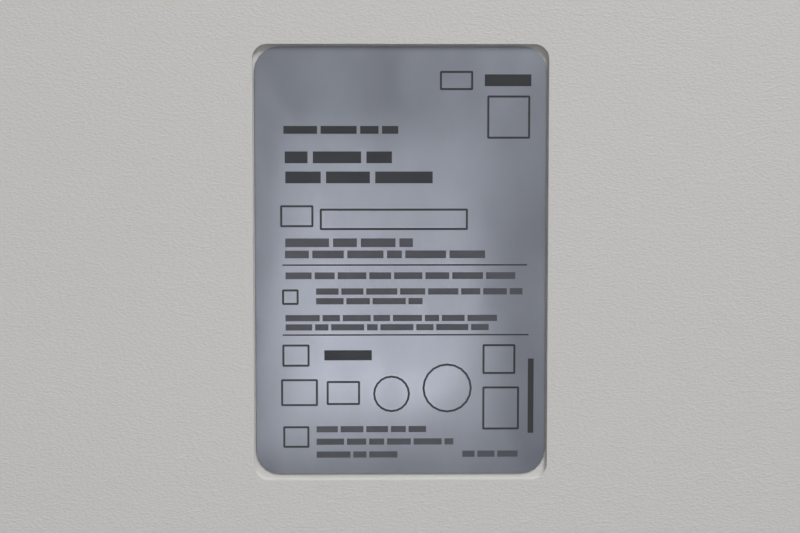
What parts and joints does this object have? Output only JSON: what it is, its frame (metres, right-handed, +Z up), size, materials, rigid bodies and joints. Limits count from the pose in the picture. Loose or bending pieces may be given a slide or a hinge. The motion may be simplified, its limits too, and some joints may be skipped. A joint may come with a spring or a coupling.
{
  "type": "benchtop sequencer",
  "caption": "Benchtop capillary sequencer with a lift-up door, touchscreen, slide-in cartridge, three-axis sampler, optics bench and recessed rear rating plate.",
  "frame": {"origin": "centre of the housing's footprint, on the bench", "axes": "+X to the right seen from the front, +Y towards the rear, +Z up"},
  "size_m": [0.495, 0.648, 0.442],
  "materials": {
    "cover_plastic": "fine leather grain",
    "grille_plastic": "satin",
    "label_film": "satin polyester film",
    "zinc_steel": "satin",
    "bright_steel": "polished",
    "screw_steel": "satin",
    "foot_rubber": "matt",
    "seal_rubber": "matt",
    "screen_glass": "gloss",
    "screen_frame": "satin",
    "button_metal": "satin",
    "ring_plastic": "translucent",
    "liner_plastic": "matt",
    "dock_plastic": "satin",
    "cartridge_plastic": "satin",
    "cartridge_clear": "gloss",
    "grip_plastic": "satin",
    "capillary_glass": "coated",
    "plunger_rubber": "matt",
    "machined_aluminium": "machined",
    "black_plastic": "satin",
    "motor_black": "satin",
    "nest_plastic": "matt",
    "clamp_plastic": "satin",
    "plate_plastic": "gloss",
    "mat_silicone": "matt",
    "bench_casting": "anodised",
    "laser_black": "anodised",
    "module_red": "satin",
    "supply_steel": "satin",
    "board_green": "solder mask"
  },
  "bodies": {
    "chassis": {"base_pan": "zinc_steel", "feet": "foot_rubber", "side_frames": "zinc_steel", "center_frame": "zinc_steel", "front_frame": "zinc_steel", "rear_bulkhead": "zinc_steel", "left_side_cover": "cover_plastic", "right_side_cover": "cover_plastic", "top_cover": "cover_plastic", "rear_cover": "cover_plastic", "rear_grilles": "grille_plastic", "cover_screws": "screw_steel", "rating_plate": "label_film", "front_bezel": "cover_plastic", "screen_glass": "screen_glass", "screen_module": "screen_frame", "power_ring": "ring_plastic", "hinge_shaft": "bright_steel", "hinge_brackets": "screw_steel", "interlock_solenoid": "motor_black", "chamber_liner": "liner_plastic", "cartridge_dock": "dock_plastic", "polymer_drive": "motor_black", "sampler_base": "machined_aluminium", "optical_bench": "bench_casting", "laser_module": "laser_black", "spectrograph": "black_plastic", "hv_supply": "module_red", "power_supply": "supply_steel", "main_board": "board_green", "fan_housings": "black_plastic", "inlet_module": "black_plastic", "data_ports": "screw_steel"},
    "door": {"door_shell": "cover_plastic", "door_liner": "liner_plastic", "door_seal": "seal_rubber"},
    "bolt": {"interlock_bolt": "bright_steel"},
    "cartridge": {"cartridge_body": "cartridge_plastic", "cartridge_cover": "cartridge_clear", "cartridge_grip": "grip_plastic", "capillary_array": "capillary_glass"},
    "plunger": {"polymer_plunger": "plunger_rubber"},
    "pusher": {"polymer_pusher": "bright_steel"},
    "y_screw": {"y_screw": "bright_steel"},
    "y_stage": {"y_carriage": "machined_aluminium", "x_motor": "motor_black"},
    "x_screw": {"x_screw": "bright_steel"},
    "x_stage": {"x_carriage": "machined_aluminium", "lift_motor": "motor_black"},
    "lift": {"lift_platform": "machined_aluminium", "plate_nest": "nest_plastic", "sample_plate": "plate_plastic", "septa_mat": "mat_silicone", "buffer_reservoir": "plate_plastic"},
    "clamp": {"plate_clamp": "clamp_plastic"},
    "button": {"power_button": "button_metal"},
    "rocker": {"power_rocker": "black_plastic"},
    "drawer": {"fuse_drawer": "black_plastic"},
    "rotor_left": {"fan_rotor_left": "black_plastic"},
    "rotor_right": {"fan_rotor_right": "black_plastic"}
  },
  "joints": [
    {"name": "door_hinge", "type": "hinge", "parent": "chassis", "child": "door", "pos_m": [-0.08, -0.258, 0.432], "axis": [-1, 0, 0], "range_deg": [0, 80]},
    {"name": "interlock_slide", "type": "slide", "parent": "chassis", "child": "bolt", "axis": [0, -1, 0], "range_m": [0, 0.008]},
    {"name": "cartridge_slide", "type": "slide", "parent": "chassis", "child": "cartridge", "axis": [0, 1, 0], "range_m": [-0.036, 0]},
    {"name": "plunger_slide", "type": "slide", "parent": "cartridge", "child": "plunger", "axis": [0, -1, 0], "range_m": [0, 0.03]},
    {"name": "pusher_slide", "type": "slide", "parent": "chassis", "child": "pusher", "axis": [0, -1, 0], "range_m": [0, 0.03]},
    {"name": "y_slide", "type": "slide", "parent": "chassis", "child": "y_stage", "axis": [0, 1, 0], "range_m": [-0.063, 0.018]},
    {"name": "y_screw_turn", "type": "hinge", "parent": "chassis", "child": "y_screw", "pos_m": [-0.08525, -0.135, 0.092], "axis": [0, 1, 0], "range_deg": [-1135, 325]},
    {"name": "x_slide", "type": "slide", "parent": "y_stage", "child": "x_stage", "axis": [1, 0, 0], "range_m": [-0.054, 0.045]},
    {"name": "x_screw_turn", "type": "hinge", "parent": "y_stage", "child": "x_screw", "pos_m": [-0.08525, -0.135, 0.117], "axis": [1, 0, 0], "range_deg": [-973, 811]},
    {"name": "lift_slide", "type": "slide", "parent": "x_stage", "child": "lift", "axis": [0, 0, 1], "range_m": [0, 0.02]},
    {"name": "clamp_turn", "type": "hinge", "parent": "lift", "child": "clamp", "pos_m": [-0.01325, -0.145, 0.142], "axis": [0, 0, 1], "range_deg": [-40, 0]},
    {"name": "button_press", "type": "slide", "parent": "chassis", "child": "button", "axis": [0, 0.9995, 0.0332], "range_m": [0, 0.0025], "stiffness_N_per_m": 600, "springref_m": -0.001},
    {"name": "rocker_tilt", "type": "hinge", "parent": "chassis", "child": "rocker", "pos_m": [0.201, 0.297, 0.074], "axis": [-1, 0, 0], "range_deg": [0, 14]},
    {"name": "fuse_slide", "type": "slide", "parent": "chassis", "child": "drawer", "axis": [0, 1, 0], "range_m": [0, 0.022]},
    {"name": "fan_left_turn", "type": "hinge", "parent": "chassis", "child": "rotor_left", "pos_m": [-0.15, 0.288, 0.33], "axis": [0, 1, 0], "continuous": true},
    {"name": "fan_right_turn", "type": "hinge", "parent": "chassis", "child": "rotor_right", "pos_m": [-0.045, 0.288, 0.33], "axis": [0, 1, 0], "continuous": true}
  ],
  "couplings": [
    {"joint": "y_screw_turn", "follows": "y_slide", "rad_per_m": 314.16},
    {"joint": "x_screw_turn", "follows": "x_slide", "rad_per_m": 314.16},
    {"joint": "plunger_slide", "follows": "pusher_slide", "ratio": 1}
  ]
}
